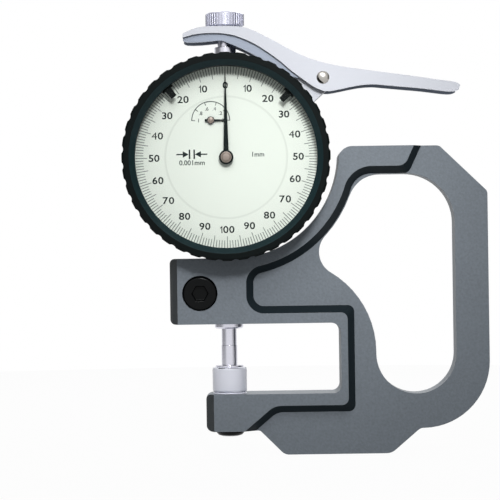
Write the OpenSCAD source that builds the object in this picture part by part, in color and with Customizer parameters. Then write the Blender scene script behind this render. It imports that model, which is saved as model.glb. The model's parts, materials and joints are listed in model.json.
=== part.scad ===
// Dial thickness gauge: a cast C-frame with a handle, a dial indicator clamped in its upper arm,
// a ceramic contact that closes on a fixed anvil, and a thumb lever that lifts the spindle.
// X runs from the spindle to the handle, Y from the dial to the back and Z up the spindle.
// The origin is the middle of the anvil's measuring face. Lengths are in millimetres.

/* [Measuring axis] */
// Diameter of the sliding spindle
spindle_d = 4.2; // [3.8:0.1:4.4]
// Travel of the spindle, five turns of the pointer
travel = 1; // [0.4:0.1:1.2]
// Diameter of the ceramic contact and of the anvil
contact_d = 9.6; // [7:0.1:11]
// Height of the ceramic contact
contact_h = 7; // [4:0.5:9]
// Height of the joint between spindle and contact shank
shank_top = 13.1; // [11:0.1:14.5]
// Outer diameter of the indicator stem
stem_d = 8; // [7.5:0.1:8.5]
// Gap between contact and anvil when the gauge is closed
closed_gap = 0.02; // [0.01:0.01:0.1]
// Running clearance between a shaft and its bearing, all round
running_fit = 0.03; // [0.02:0.01:0.06]

/* [Frame] */
// Thickness of the raised arms
arm_t = 15; // [13:0.5:18]
// Thickness of the handle and the web
web_t = 9; // [6:0.5:11]
// Width of the sloped wall between arm and web
slope_run = 2; // [1:0.1:2.2]
// Depth of the throat from the spindle
throat_x = 31; // [28:0.5:36]
// Height of the throat over the anvil
throat_z = 19.2; // [18.8:0.1:20]
// Height of the lower arm at its tip
lower_arm_h = 10.3; // [9:0.1:12]
// How far the anvil stands over the lower arm
anvil_stand = 0.3; // [0.1:0.1:0.6]
// Outer side of the handle
handle_x = 72.4; // [70:0.2:76]
// Height of the handle's top over the dial's centre
handle_rise = 2.8; // [2:0.2:6]
// Bottom edge that the frame stands on
frame_foot = -17.4; // [-20:0.2:-16]
// Diameter of the clamp screw's head
clamp_head_d = 9.6; // [8:0.1:10]

/* [Indicator] */
// Height of the dial's centre
dial_z = 65.2; // [65:0.1:66.5]
// Number of grip flutes round the bezel
flutes = 40; // [24:1:60]
// Wall of the case
case_wall = 1.8; // [1.4:0.1:2.4]
// Diameter of the visible dial
dial_d = 49.8; // [48:0.1:50.4]
// How far the case reaches past the visible dial, all round
case_over = 1.6; // [1.4:0.1:2]
// How far the bezel reaches past the case, all round
bezel_over = 2; // [1.8:0.1:2.4]
// Diameter of the fixed centre of the dial
dial_centre_d = 33.2; // [32:0.1:36]
// Thickness of the crystal
crystal_t = 1.2; // [0.8:0.1:1.6]
// Thickness of the back cover
cover_t = 1.5; // [1:0.1:2.5]

/* [Gear train] */
// Module of the wheels
module_w = 0.2; // [0.18:0.005:0.21]
// Diameter of the arbors
arbor_d = 1; // [0.8:0.05:1.1]

/* [Lift lever] */
// Place of the pivot along X
pivot_x = 27.1; // [26.5:0.1:27.5]
// Height of the pivot over the dial's centre
pivot_rise = 22; // [21.8:0.1:22.4]
// Diameter of the pivot pin
pivot_d = 2.6; // [2:0.1:3]
// Width of the lever
lever_w = 12; // [10:0.5:14]
// Sheet thickness of the lever
lever_t = 1; // [0.8:0.1:1.2]
// Diameter of the lift knob
knob_d = 10.8; // [9:0.2:12]
// Height of the lift knob
knob_h = 4.7; // [3:0.1:6]

/* [Hidden] */
$fn = 64;
arc_step = 6;
eps = 0.01;
cut = 1;

// Outer sizes that follow the dial
case_d = dial_d + 2 * case_over;
case_r = case_d / 2;
bezel_d = case_d + 2 * bezel_over;
handle_top = dial_z + handle_rise;

// Frame outline, in X and Z
relief = [1.74, dial_z + 1.65];
relief_gap = 2.92;
relief_r = case_r + relief_gap;
rim_w = 3.01;
rim_r = relief_r + rim_w;
hole_wall = 5.25;
hole_rim_r = relief_r + hole_wall;
arm_left = -16.3;
arm_top = relief[1] - relief_r;
arm_bottom = throat_z;
ear_in = 0.26;
ear_x = relief[0] + relief_r - ear_in;
ear_z = relief[1] - sqrt(pow(relief_r, 2) - pow(ear_x - relief[0], 2));
ear_r = 3.9;
shoulder_x = handle_x - 13.3;
shoulder_z = handle_top - 12.9;
heel_z = -10.5;
heel_r = 18.6;
heel_x = 52.9;
foot_left = 15.1;
foot_right = 44.8;
lower_top = -anvil_stand;
lower_bottom = lower_top - lower_arm_h;
lower_left = -6.6;
lower_step_x = foot_left + frame_foot - lower_bottom;
arm_half = arm_t / 2;
web_half = web_t / 2;
end_bevel = 2.2;
end_land = 2.5;

// Handle hole
hole_top = handle_top - 7.6;
hole_right = handle_x - 9.2;
hole_left = 40.9;
hole_bottom = -0.9;
hole_r = (hole_right - hole_left) / 2;
hole_corner_r = 13.7;
hole_fillet_r = 9.4;
nook_r = 6.6;
bulge = [15.06, 11.05];
bulge_r = hole_left - bulge[0];

// Recessed web, measured on its upper edge
recess_left = 4;
recess_slant = 40;
recess_low = -3.6;
strip_w = 1.9;
recess_x = throat_x + strip_w;
recess_z = throat_z + 2.8;
head_x = 4.97;
head_corner_r = 5;
ear_corner_r = 8;
fillet_in = 0.03;
ear_strip_z = hole_top + 2;
ear_foot_x = 49.3;
ear_lean = 2.7 / 5.8;
recess_top = arm_half + 0.3;
wall_low = web_half - cut;
wall_high = arm_half + cut;
beyond = 90;

// Clamp and anvil
clamp_at = [-7.87, 27.8];
clamp_thread_d = 5;
clamp_bore_d = 5.2;
clamp_head_h = 2.9;
clamp_head_fit = 0.2;
clamp_socket_d = 4.6;
clamp_socket_depth = 1.8;
clamp_slot = 1;
clamp_dome = 0.5;
clamp_inset = 0.6;
anvil_disc_t = 1.6;
anvil_flange_t = 0.8;
anvil_post_d = 6;
anvil_post_end = lower_bottom + 0.4;
anvil_thread_d = 4;
anvil_thread_l = 4.6;
anvil_head_d = 7.8;
anvil_head_h = 1.65;
contact_bevel = 0.4;

// Indicator, in distances along Y from the spindle
dial = [0, dial_z];
case_bore_r = case_r - case_wall;
case_front = -10;
plate_t = 1.5;
plate_back = case_front + plate_t;
case_back = 6;
gasket_t = 0.3;
gasket_inset = 0.2;
cover_y = case_back + gasket_t + cover_t;
cover_edge = 0.5;
cover_screw_r = case_r - 3.6;
cover_screw_d = 2;
cover_head_d = 3.4;
cover_head_h = 0.8;
cover_slot = 0.5;
cover_lug_d = 4;
cover_lug_l = 4;
bezel_r = bezel_d / 2;
bezel_back = -8.2;
bezel_front = -17.5;
bezel_rim_w = 2;
bezel_rim_r = bezel_r - bezel_rim_w;
bezel_edge = 0.6;
bezel_lip = 0.5;
bezel_slope = 1.5;
window_r = dial_d / 2;
seat_step = 0.85;
seat_r = window_r + seat_step;
crystal_front = bezel_front + bezel_slope + bezel_lip;
crystal_back = crystal_front + crystal_t;
dial_t = 0.6;
dial_back = case_front - 0.3;
dial_front = dial_back - dial_t;
spacer_t = 0.7;
dial_split = 0.2;
dial_boss_r = dial_centre_d / 2 - 1;
flute_r = 1.6;
flute_depth = 0.4;
snap_r = 0.4;
snap_y = (case_front + bezel_back) / 2;
snap_h = 0.6;
snap_fit = 0.05;
marker_w = 2.6;
marker_in = 3.3;
marker_foot = 0.65;
marker_t = 0.5;
marker_foot_h = 1;
marker_arc = 12;
marker_fit = 0.05;
marker_front = crystal_back + 0.4;
marker_angles = [130, 45];

// Stem, bushes and spindle
stem_end = throat_z - 1.4;
stem_bevel = 0.4;
boss_half = 6;
stem_grip = 5.8;
stem_top = dial_z - case_r + stem_grip;
bush_d = spindle_d + 1.4;
bush_l = 6;
bush_inset = 0.2;
top_bush_d = 6;
top_bush_over = 4.7;
top_bush_grip = 4;
top_bush_end = dial_z + case_r + top_bush_over;
top_bush_start = dial_z + case_bore_r - top_bush_grip;
shank_d = spindle_d + 0.2;
shank_flange_d = contact_d - 1.8;
shank_flange_h = 0.5;
stud_d = 2.5;
stud_l = 4;
end_room = 0.4;
knob_dome = 0.9;
knob_knurls = 44;
knob_knurl_d = 0.45;
guide_z = dial_z - 19.2;
guide_pin_d = 1.5;
pin_stop = 0.4;
guide_pin_end = -8.4;
guide_x = [-9.6, -6];
guide_room = 0.6;
guide_block_z = [guide_z - 2.6, guide_z + travel + 2.6];
guide_wall = 1.4;
spring_x = -5.5;
spring_pin_z = dial_z + 13;
spring_post_z = dial_z - 7.2;
spring_pin_d = 1;
spring_wire = 0.4;
spring_coil_r = 1.3;
spring_turns = 9;
spring_seat = 0.05;

// Wheels: teeth, centres, planes and pivots
rack_teeth = 12;
drive_teeth = 80;
middle_teeth = 50;
counter_teeth = 100;
pinion_teeth = 10;
rack_pitch = 8 / rack_teeth;
rack_pinion_r = rack_teeth * rack_pitch / (2 * PI);
rack_line = 1.6;
rack_z = [dial_z - 17.5, dial_z - 5.5];
pressure = 20;
backlash = 0.14;
wheel_add = 0.75;
pinion_add = 1;
dedendum = 1.3;
pinion_root = 0.72;
mesh_play = 0.01;
drive_gap = module_w * (drive_teeth + pinion_teeth) / 2 + mesh_play;
middle_gap = module_w * (middle_teeth + pinion_teeth) / 2 + mesh_play;
counter_gap = module_w * (counter_teeth + pinion_teeth) / 2 + mesh_play;
rack_axis = [rack_line + rack_pinion_r + mesh_play, dial_z - 11.65];
middle_axis = meet(rack_axis, drive_gap, dial, middle_gap);
counter_dir = 112;
counter_axis = dial + counter_gap * [cos(counter_dir), sin(counter_dir)];
bridge_t = 1;
bridge_front = -3.5;
bridge_back = bridge_front + bridge_t;
bridge_at = dial + [0, 0.8];
bridge_r = 16.5;
pillar_d = 3;
pillars = [dial + [11, 6.8], dial + [-10, -5.2], dial + [12.5, -5.2]];
bridge_screw_d = 1.6;
bridge_screw_head_d = 2.6;
bridge_screw_head_h = 0.7;
bridge_screw_l = 3.4;
rack_plane = [-0.8, 0.8];
drive_plane = [-5.2, -4.4];
middle_plane = [-7.2, -6.4];
pinion_over = 0.2;
cock_plane = [3, 4];
cock_pillar_d = 2;
cock_pillars = [dial + [9, -8.2], dial + [7.5, -12.7]];
cock_rim = 0.9;
jewel_d = 1.8;
jewel_t = 0.6;
jewel_inset = 0.2;
arbor_room = 0.7;
pivot_end = jewel_t - 0.1;
pointer_plane = [-12.6, -12.3];
counter_pointer_plane = [-11.6, -11.4];
pointer_gap = 0.7;
pointer_reach = window_r - pointer_gap;
pointer_tail = 1.5;
pointer_base = 1.55;
pointer_point = 0.3;
pointer_eye = 2.2;
pointer_boss = 4;
hub_d = 3.5;
hub_plane = [-13.3, -11.8];
hub_edge = 0.25;
hub_cap = 0.3;
counter_reach = 4.6;
counter_tail = 1.6;
counter_eye = 1.6;
counter_base = 0.7;
counter_point = 0.25;
counter_tip_h = 0.2;
dial_hole_d = 2.2;
hair_plane = [-4.2, -3.8];
hair_wire = 0.12;
hair_turns = 5;
hair_in = 1;
hair_pitch = 0.9;
hair_stud_d = 0.9;
hair_steps = 24;
collet_over = 0.1;
collet_d = 2 * hair_in;
spoke_w = 0.9;
wheel_rim = 0.9;
wheel_boss_d = 2.4;

// Lift lever: runs of points from its pivot, in X and Z, for its upper profile, the lower edge of its sides
// and the lower edge of the lip inside each side
lever_upper = [[-38.8, 12.7], [-36.1, 13.9], [-33.5, 14.5], [-27.9, 14.7], [-22.7, 14.4], [-19.8, 13.6],
    [-16.9, 12.2], [-12.8, 10], [-8.2, 7.4], [-3.5, 5.3], [1.1, 3.9], [5.8, 2.9], [10.4, 2.2],
    [16.3, 1.3], [22.1, 0.5], [27.9, -0.4], [33.7, -1.3], [36.8, -1.8], [38, -2.6]];
lever_lower = [[37.6, -3.9], [36.3, -4.4], [33.7, -4.3], [27.9, -3.5], [22, -2.9], [16.2, -2.3], [13.9, -2.1],
    [10.4, -2.3], [6.9, -2.9], [3.3, -3.6], [0.4, -3.8], [-2.5, -2.6], [-4.8, -1], [-7.1, 0.7],
    [-9.4, 2.5], [-11.7, 4.6], [-15.2, 7.2], [-18.7, 9.5], [-21.6, 10.9], [-24.5, 12], [-28.5, 12.7],
    [-33.2, 12.7], [-36.1, 12.3], [-38.6, 11.6]];
lever_lip = [[-38.7, 10.8], [-37.6, 10.3], [-33.8, 10.3], [-30.3, 10.6], [-28, 10.7], [-25.7, 9.8],
    [-22.2, 8.3], [-18.7, 6.4], [-15.2, 4.4], [-11.8, 2.4], [-8.3, 0.4], [-6.6, 0]];
curve_steps = 2;
lever_half = lever_w / 2;
lever_side_gap = 0.3;
lever_slot = [spindle_d + 2.4, spindle_d + 1];
lever_slot_shift = 0.3;
pivot = [pivot_x, dial_z + pivot_rise];
knob_seat = 0.2;
knob_z = pivot[1] + lever_upper[3][1] + knob_seat;
spindle_top = knob_z;
lever_slot_z = [knob_z - 6.4, knob_z + 1.6];
pivot_head_d = pivot_d + 1;
pivot_head_h = 0.6;
bracket_r = 2.5;
bracket_slant = 75;
bracket_half = lever_half - 2 * lever_t - lever_side_gap;
bracket_screw_d = 1.6;
bracket_screw_head_d = 3;
bracket_screw_head_h = 1.2;
head_fit = 0.1;
bracket_screw_angle = 48;
bracket_screw_grip = 1.2;
bracket_foot = [31.4, 60];
bracket_top = pivot + [-8.9, 4.4];
bracket_under = pivot + [2, -2.4];

// Plane geometry
function unit(v) = v / norm(v);
function heading(v) = atan2(v[1], v[0]);
function flat(p) = [p[0], p[1]];
function turn(a) = a > 180 ? a - 360 : a < -180 ? a + 360 : a;
function polar(r, a) = r * [cos(a), sin(a)];

// The right-hand point that lies at distance a from p and b from q
function meet(p, a, q, b) =
    let (d = norm(q - p), along = (a * a - b * b + d * d) / (2 * d), u = (q - p) / d)
    p + along * u + sqrt(a * a - along * along) * [u[1], -u[0]];

// Points on an arc the short way from one heading to another, and a run of points without its first
function arc(centre, r, from, to) =
    let (sweep = turn(to - from), n = ceil(abs(sweep) / arc_step - eps))
    [for (i = [0:n]) centre + polar(r, from + sweep * i / n)];
function after(points) = [for (i = [1:len(points) - 1]) points[i]];

// One rounded corner at q, from p towards s; q holds its radius as a third number
function corner(p, q, s) =
    let (u = unit(flat(p) - flat(q)), v = unit(flat(s) - flat(q)), half = acos(u * v) / 2,
        centre = flat(q) + unit(u + v) * q[2] / sin(half), reach = q[2] / tan(half))
    arc(centre, q[2], heading(flat(q) + u * reach - centre), heading(flat(q) + v * reach - centre));

// A closed outline of points [x, z, corner radius]
function rounded(points) =
    let (n = len(points))
    [for (i = [0:n - 1])
        each points[i][2] > 0 ? corner(points[(i + n - 1) % n], points[i], points[(i + 1) % n])
            : [flat(points[i])]];

// A smooth run through points
function run_point(a, b, c, d, t) =
    0.5 * (2 * b + (c - a) * t + (2 * a - 5 * b + 4 * c - d) * t * t + (3 * b - a - 3 * c + d) * t * t * t);
function smooth(points) =
    let (n = len(points))
    [for (i = [0:n - 2], k = [0:curve_steps - 1])
        run_point(points[max(i - 1, 0)], points[i], points[i + 1], points[min(i + 2, n - 1)],
            k / curve_steps),
     points[n - 1]];

// Extrudes an X-Z outline from y0 to y1
module slab(y0, y1) {
    translate([0, y1, 0])
        rotate([90, 0, 0])
            linear_extrude(height = y1 - y0)
                children();
}

module at(p) {
    translate([p[0], 0, p[1]])
        children();
}

module rod(p, d, y0, y1) {
    at(p)
        slab(y0, y1)
            circle(d = d);
}

module ring(p, outer_d, inner_d, y0, y1) {
    at(p)
        slab(y0, y1)
            difference() {
                circle(d = outer_d);
                circle(d = inner_d);
            }
}

// Turns a profile of radius and distance to the front about the dial's axis
module turned(points) {
    at(dial)
        rotate([90, 0, 0])
            rotate_extrude()
                polygon([for (p = points) [p[0], -p[1]]]);
}

// Turns a profile of radius and height about the spindle
module spun(points) {
    rotate_extrude()
        polygon(points);
}

module sleeve(outer_d, inner_d, z0, z1) {
    spun([[inner_d / 2, z0], [outer_d / 2, z0], [outer_d / 2, z1], [inner_d / 2, z1]]);
}

// Involute gear outline with its first tooth at angle 0
function involute(a) = tan(a) * 180 / PI - a;
function tooth_half(r, pitch_r, teeth) =
    90 / teeth * (1 - backlash) + involute(pressure) - involute(acos(min(1, pitch_r * cos(pressure) / r)));
function gear_radii(pitch_r, m, add) =
    let (root = pitch_r - dedendum * m, base = pitch_r * cos(pressure), tip = pitch_r + add * m)
    root < base ? [root, base, (base + pitch_r) / 2, pitch_r, (pitch_r + tip) / 2, tip]
        : [root, pitch_r, tip];
function gear_outline(teeth, m, add) =
    let (pitch_r = teeth * m / 2, radii = gear_radii(pitch_r, m, add), base = pitch_r * cos(pressure),
        n = len(radii),
        halves = [for (r = radii) tooth_half(max(r, base), pitch_r, teeth) * (r < base ? pinion_root : 1)])
    [for (k = [0:teeth - 1])
        each concat([for (i = [0:n - 1]) polar(radii[i], 360 * k / teeth - halves[i])],
            [for (i = [n - 1:-1:0]) polar(radii[i], 360 * k / teeth + halves[i])])];

module pinion(p, teeth, m, phase, plane) {
    at(p)
        slab(plane[0] - pinion_over, plane[1] + pinion_over)
            rotate(phase)
                polygon(gear_outline(teeth, m, pinion_add));
}

// A toothed wheel with a rim, a boss on its arbor and spokes
module wheel(p, teeth, phase, plane, spokes) {
    rim_r = teeth * module_w / 2 - dedendum * module_w - wheel_rim;
    at(p)
        slab(plane[0], plane[1])
            difference() {
                union() {
                    difference() {
                        rotate(phase)
                            polygon(gear_outline(teeth, module_w, wheel_add));
                        circle(r = rim_r);
                    }
                    circle(d = wheel_boss_d);
                    for (k = [0:spokes - 1])
                        rotate(360 * k / spokes)
                            translate([0, -spoke_w / 2])
                                square([rim_r + wheel_rim / 2, spoke_w]);
                }
                circle(d = arbor_d);
            }
}

// Phases that put a tooth of one wheel into a gap of the next, at rest
drive_dir = heading(middle_axis - rack_axis);
middle_dir = heading(dial - middle_axis);
drive_phase = drive_dir;
middle_pinion_phase = drive_dir + 180 + 180 / pinion_teeth;
middle_phase = middle_dir;
centre_phase = middle_dir + 180 + 180 / pinion_teeth;
counter_lag = (counter_dir - centre_phase) % (360 / pinion_teeth);
counter_phase = counter_dir + 180 + 180 / counter_teeth + counter_lag * pinion_teeth / counter_teeth;

// Frame outline with its throat
module frame_outline() {
    difference() {
        polygon(rounded([
            [arm_left, arm_bottom, 1.4], [arm_left, arm_top, 1.4], [relief[0], arm_top, 0],
            [relief[0], ear_z + cut, 0], [ear_x, ear_z + cut, 0], [ear_x, handle_top, ear_r],
            [shoulder_x, handle_top, 1.8],
            [handle_x, shoulder_z, 1.8], [handle_x, heel_z, heel_r], [heel_x, heel_z, 2.4],
            [foot_right, frame_foot, 3.9], [foot_left, frame_foot, 3], [lower_step_x, lower_bottom, 1.2],
            [lower_left, lower_bottom, 1.5], [lower_left, lower_top, 1.5],
            [throat_x, lower_top, 2.2], [throat_x, arm_bottom, 2.8]]));
        translate(relief)
            circle(r = relief_r);
    }
}

// Circle of radius r that touches the hole's rim from outside at height z
function rim_touch(r, z) = [relief[0] + sqrt(pow(hole_rim_r + r, 2) - pow(relief[1] - z, 2)), z];

// Middle of a circle of radius r that touches the rim of the dial's relief, at a height or under it at x
function rim_side(r, z) = [relief[0] + sqrt(pow(rim_r + r, 2) - pow(relief[1] - z, 2)), z];
function rim_under(r, x) = relief[1] - sqrt(pow(rim_r + r, 2) - pow(x - relief[0], 2));

// Handle hole: rounded behind the dial, with a nook and a bulge of metal beside the throat
module handle_hole() {
    fillet = rim_touch(hole_fillet_r, hole_top - hole_fillet_r);
    nook = meet(bulge, bulge_r + nook_r, relief, hole_rim_r + nook_r);
    polygon(concat(
        after(rounded([[hole_left, bulge[1], 0], [hole_left, hole_bottom, hole_r],
            [hole_right, hole_bottom, hole_r], [hole_right, hole_top, hole_corner_r],
            [fillet[0], hole_top, 0]])),
        after(arc(fillet, hole_fillet_r, 90, heading(relief - fillet))),
        after(arc(relief, hole_rim_r, heading(fillet - relief), heading(nook - relief))),
        after(arc(nook, nook_r, heading(relief - nook), heading(bulge - nook))),
        after(arc(bulge, bulge_r, heading(nook - bulge), 0))));
}

// How far a sloped wall has run out from its upper edge at a height over the frame's middle
function run_at(y) = slope_run * (arm_half - y) / (arm_half - web_half);

// Metal on the near side of a sloped wall that crosses a direction at a distance
module bank(direction, distance) {
    rotate([0, -direction, 0])
        translate([0, 0, -beyond])
            linear_extrude(height = 2 * beyond)
                polygon([[-beyond, wall_low], [distance + run_at(wall_low), wall_low],
                    [distance + run_at(wall_high), wall_high], [-beyond, wall_high]]);
}

// Metal round a point, inside a sloped wall of radius r at its upper edge
module round_bank(p, r) {
    translate([p[0], wall_low, p[1]])
        rotate([-90, 0, 0])
            cylinder(r1 = r + run_at(wall_low), r2 = r + run_at(wall_high), h = wall_high - wall_low);
}

// Metal that rounds a corner of the recess, between the directions of its two walls
module bank_fillet(middle, r, from, to) {
    low = wall_low - cut;
    high = wall_high + cut;
    difference() {
        slab(wall_low, wall_high)
            polygon(concat([middle], arc(middle, 2 * r, from + 180, to + 180)));
        translate([middle[0], low, middle[1]])
            rotate([-90, 0, 0])
                cylinder(r1 = r + fillet_in - run_at(low), r2 = r + fillet_in - run_at(high), h = high - low);
    }
}

// Strip of metal round the throat
module throat_bank() {
    intersection() {
        bank(0, recess_x);
        bank(90, recess_z);
        bank(-90, -recess_low);
    }
}

// Everything that is cut away in front of the web, on the side of the back face
module web_recess() {
    lean = -atan(ear_lean);
    slant = recess_slant - 90;
    ear_corner = rim_side(ear_corner_r, ear_strip_z - ear_corner_r);
    head_corner = [head_x + head_corner_r, rim_under(head_corner_r, head_x + head_corner_r)];
    difference() {
        translate([-beyond, web_half, -beyond])
            cube([2 * beyond, recess_top - web_half, 2 * beyond]);
        throat_bank();
        intersection() {
            bank(0, head_x);
            translate([-beyond, 0, throat_z / 2])
                cube(beyond * 2);
        }
        intersection() {
            bank(slant, [recess_left, lower_bottom] * polar(1, slant));
            translate([-beyond, 0, throat_z / 2 - 2 * beyond])
                cube(beyond * 2);
        }
        round_bank(relief, rim_r);
        bank_fillet(ear_corner, ear_corner_r, -90, heading(ear_corner - relief));
        bank_fillet(head_corner, head_corner_r, heading(head_corner - relief), 0);
        bank_fillet([head_x, recess_z] + head_corner_r * [1, 1], head_corner_r, 0, 90);
        intersection() {
            bank(-90, -ear_strip_z);
            bank(lean, ear_foot_x * cos(lean) + ear_strip_z * sin(lean));
        }
    }
}

// Steep bevels at the tip of an arm that ends at x
module arm_end(x, z0, z1) {
    for (side = [-1, 1])
        translate([0, 0, z0])
            linear_extrude(height = z1 - z0)
                polygon([[x - cut, side * (end_land - cut * (arm_half - end_land) / end_bevel)],
                    [x + end_bevel * 1.2, side * (arm_half + 0.2 * (arm_half - end_land))],
                    [x - cut, side * (arm_half + cut)]]);
}

module frame_casting() {
    color("slategray")
        difference() {
            slab(-arm_half, arm_half)
                difference() {
                    frame_outline();
                    handle_hole();
                }
            web_recess();
            mirror([0, 1, 0])
                web_recess();
            arm_end(arm_left, arm_bottom - cut, arm_top + cut);
            arm_end(lower_left, lower_bottom - cut, lower_top + cut);
            translate([0, 0, arm_bottom - cut])
                cylinder(d = stem_d, h = arm_top - arm_bottom + 2 * cut);
            translate([arm_left - cut, -clamp_slot / 2, arm_bottom - cut])
                cube([-arm_left + cut, clamp_slot, arm_top - arm_bottom + 2 * cut]);
            rod(clamp_at, clamp_head_d + clamp_head_fit, -arm_half - cut, clamp_head_h - arm_half);
            rod(clamp_at, clamp_bore_d, -arm_half, 0);
            rod(clamp_at, clamp_thread_d, 0, arm_half + cut);
            translate([0, 0, lower_bottom - cut])
                cylinder(d = anvil_post_d, h = lower_arm_h + 2 * cut);
            translate([0, 0, -anvil_disc_t - anvil_flange_t])
                cylinder(d = contact_d, h = anvil_disc_t + anvil_flange_t + cut);
        }
}

// Domed socket screw, flush in its counterbore
module clamp_screw() {
    r = clamp_head_d / 2;
    under = arm_half - clamp_head_h;
    end = clamp_inset - arm_half;
    color("black")
        difference() {
            at(clamp_at)
                rotate([90, 0, 0])
                    rotate_extrude()
                        polygon([[0, end], [clamp_thread_d / 2, end], [clamp_thread_d / 2, under], [r, under],
                            [r, arm_half - clamp_dome], [r - clamp_dome, arm_half], [0, arm_half]]);
            at(clamp_at)
                slab(-arm_half - cut, clamp_socket_depth - arm_half)
                    circle(d = clamp_socket_d, $fn = 6);
        }
}

module anvil_disc() {
    r = contact_d / 2;
    color("whitesmoke")
        spun([[0, -anvil_disc_t], [r, -anvil_disc_t], [r, -anvil_stand], [r - anvil_stand / 2, 0], [0, 0]]);
}

module anvil_post() {
    top = -anvil_disc_t;
    color("silver")
        difference() {
            spun([[0, anvil_post_end], [anvil_post_d / 2, anvil_post_end],
                [anvil_post_d / 2, top - anvil_flange_t], [contact_d / 2, top - anvil_flange_t],
                [contact_d / 2, top], [0, top]]);
            translate([0, 0, anvil_post_end - cut])
                cylinder(d = anvil_thread_d, h = anvil_thread_l + cut + end_room);
        }
}

module anvil_screw() {
    r = anvil_head_d / 2;
    color("black")
        spun([[0, lower_bottom - anvil_head_h], [r * 0.6, lower_bottom - anvil_head_h],
            [r * 0.86, lower_bottom - anvil_head_h * 0.8], [r, lower_bottom - anvil_head_h * 0.4],
            [r, lower_bottom], [anvil_thread_d / 2, lower_bottom],
            [anvil_thread_d / 2, anvil_post_end + anvil_thread_l],
            [0, anvil_post_end + anvil_thread_l]]);
}

// Cup with a front plate, bosses for stem and top bush, and lugs for the back cover
module indicator_case() {
    color("dimgray")
        difference() {
            union() {
                turned([[0, case_front], [case_r, case_front], [case_r, case_back], [case_bore_r, case_back],
                    [case_bore_r, plate_back], [0, plate_back]]);
                rod(dial, 2 * dial_boss_r, dial_back, case_front);
                intersection() {
                    rod(dial, case_d - eps, plate_back - eps, case_back - cut);
                    union() {
                        translate([-boss_half, plate_back - eps, dial_z - case_r])
                            cube([2 * boss_half, case_back - cut - plate_back, case_r - dial_z + stem_top]);
                        translate([-boss_half, plate_back - eps, top_bush_start])
                            cube([2 * boss_half, case_back - cut - plate_back,
                                case_r + dial_z - top_bush_start]);
                    }
                }
                intersection() {
                    rod(dial, case_d - eps, case_back - cover_lug_l, case_back);
                    cover_screw_places()
                        rod([0, 0], cover_lug_d, case_back - cover_lug_l, case_back);
                }
            }
            cover_screw_places()
                rod([0, 0], cover_screw_d, case_back - cover_lug_l + cut, case_back + cut);
            translate([0, 0, dial_z - case_r - cut])
                cylinder(d = stem_d, h = case_r - dial_z + stem_top + 2 * cut);
            translate([0, 0, top_bush_start - cut])
                cylinder(d = top_bush_d, h = top_bush_end - top_bush_start + 2 * cut);
            ring(dial, case_d + 2 * cut, case_d - 2 * snap_r, snap_y - snap_h / 2 - snap_fit,
                snap_y + snap_h / 2 + snap_fit);
            for (p = [rack_axis, middle_axis])
                rod(p, jewel_d, plate_back - jewel_t, plate_back + cut);
            for (p = [dial, counter_axis]) {
                rod(p, jewel_d, plate_back - jewel_t, plate_back + cut);
                rod(p, arbor_d + 4 * running_fit, dial_back - cut, plate_back);
            }
            bracket_screw_place()
                cylinder(d = bracket_screw_d, h = case_wall + bracket_screw_grip + 2 * cut, center = true);
        }
}

module cover_screw_places() {
    for (k = [0:3])
        at(dial + polar(cover_screw_r, 45 + 90 * k))
            children();
}

module stem() {
    inner = bush_d / 2;
    color("silver")
        spun([[inner, stem_end], [stem_d / 2 - stem_bevel, stem_end], [stem_d / 2, stem_end + stem_bevel],
            [stem_d / 2, stem_top], [inner, stem_top]]);
}

module lower_bush() {
    color("darkgoldenrod")
        sleeve(bush_d, spindle_d + 2 * running_fit, stem_end + bush_inset, stem_end + bush_inset + bush_l);
}

module stem_bush() {
    color("darkgoldenrod")
        sleeve(bush_d, spindle_d + 2 * running_fit, stem_top - bush_inset - bush_l, stem_top - bush_inset);
}

module top_bush() {
    color("silver")
        sleeve(top_bush_d, spindle_d + 2 * running_fit, top_bush_start, top_bush_end);
}

module back_cover() {
    color("dimgray")
        difference() {
            turned([[0, cover_y], [case_r - cover_edge, cover_y], [case_r, cover_y - cover_edge],
                [case_r, cover_y - cover_t], [0, cover_y - cover_t]]);
            cover_screw_places()
                rod([0, 0], cover_screw_d, case_back, cover_y + cut);
        }
}

module back_gasket() {
    color("black")
        ring(dial, case_d - 2 * gasket_inset, 2 * (case_bore_r + gasket_inset), case_back,
            case_back + gasket_t);
}

module back_cover_screws() {
    color("silver")
        cover_screw_places()
            difference() {
                union() {
                    rod([0, 0], cover_screw_d, case_back - cover_lug_l + cut + end_room, cover_y);
                    rod([0, 0], cover_head_d, cover_y, cover_y + cover_head_h);
                }
                translate([-cover_head_d, cover_y + cover_head_h / 2, -cover_slot / 2])
                    cube([2 * cover_head_d, cover_head_h, cover_slot]);
            }
}

// Fluted ring that holds crystal and dial ring, and turns on the front of the case
module bezel() {
    neck_r = case_r + running_fit;
    color("black")
        difference() {
            turned([[bezel_r, bezel_back], [bezel_r, bezel_front + bezel_edge],
                [bezel_r - bezel_edge, bezel_front], [bezel_rim_r, bezel_front],
                [window_r, bezel_front + bezel_slope], [window_r, crystal_front], [seat_r, crystal_front],
                [seat_r, case_front - running_fit], [neck_r, case_front - running_fit],
                [neck_r, bezel_back]]);
            at(dial)
                for (k = [0:flutes - 1])
                    rotate([0, 360 * (k + 0.5) / flutes, 0])
                        translate([bezel_r + flute_r - flute_depth, 0, 0])
                            slab(bezel_front - cut, bezel_back + cut)
                                circle(r = flute_r);
            ring(dial, case_d + 2 * snap_r + 2 * snap_fit, case_d, snap_y - snap_h / 2 - snap_fit,
                snap_y + snap_h / 2 + snap_fit);
        }
}

module crystal() {
    color("lightcyan", 0.3)
        rod(dial, 2 * seat_r, crystal_front, crystal_back);
}

module spacer_ring() {
    color("black")
        ring(dial, 2 * seat_r, 2 * (seat_r - spacer_t), crystal_back, dial_front);
}

module dial_ring() {
    color("honeydew")
        ring(dial, 2 * seat_r, dial_centre_d + 2 * dial_split, dial_front, dial_back);
}

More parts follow.
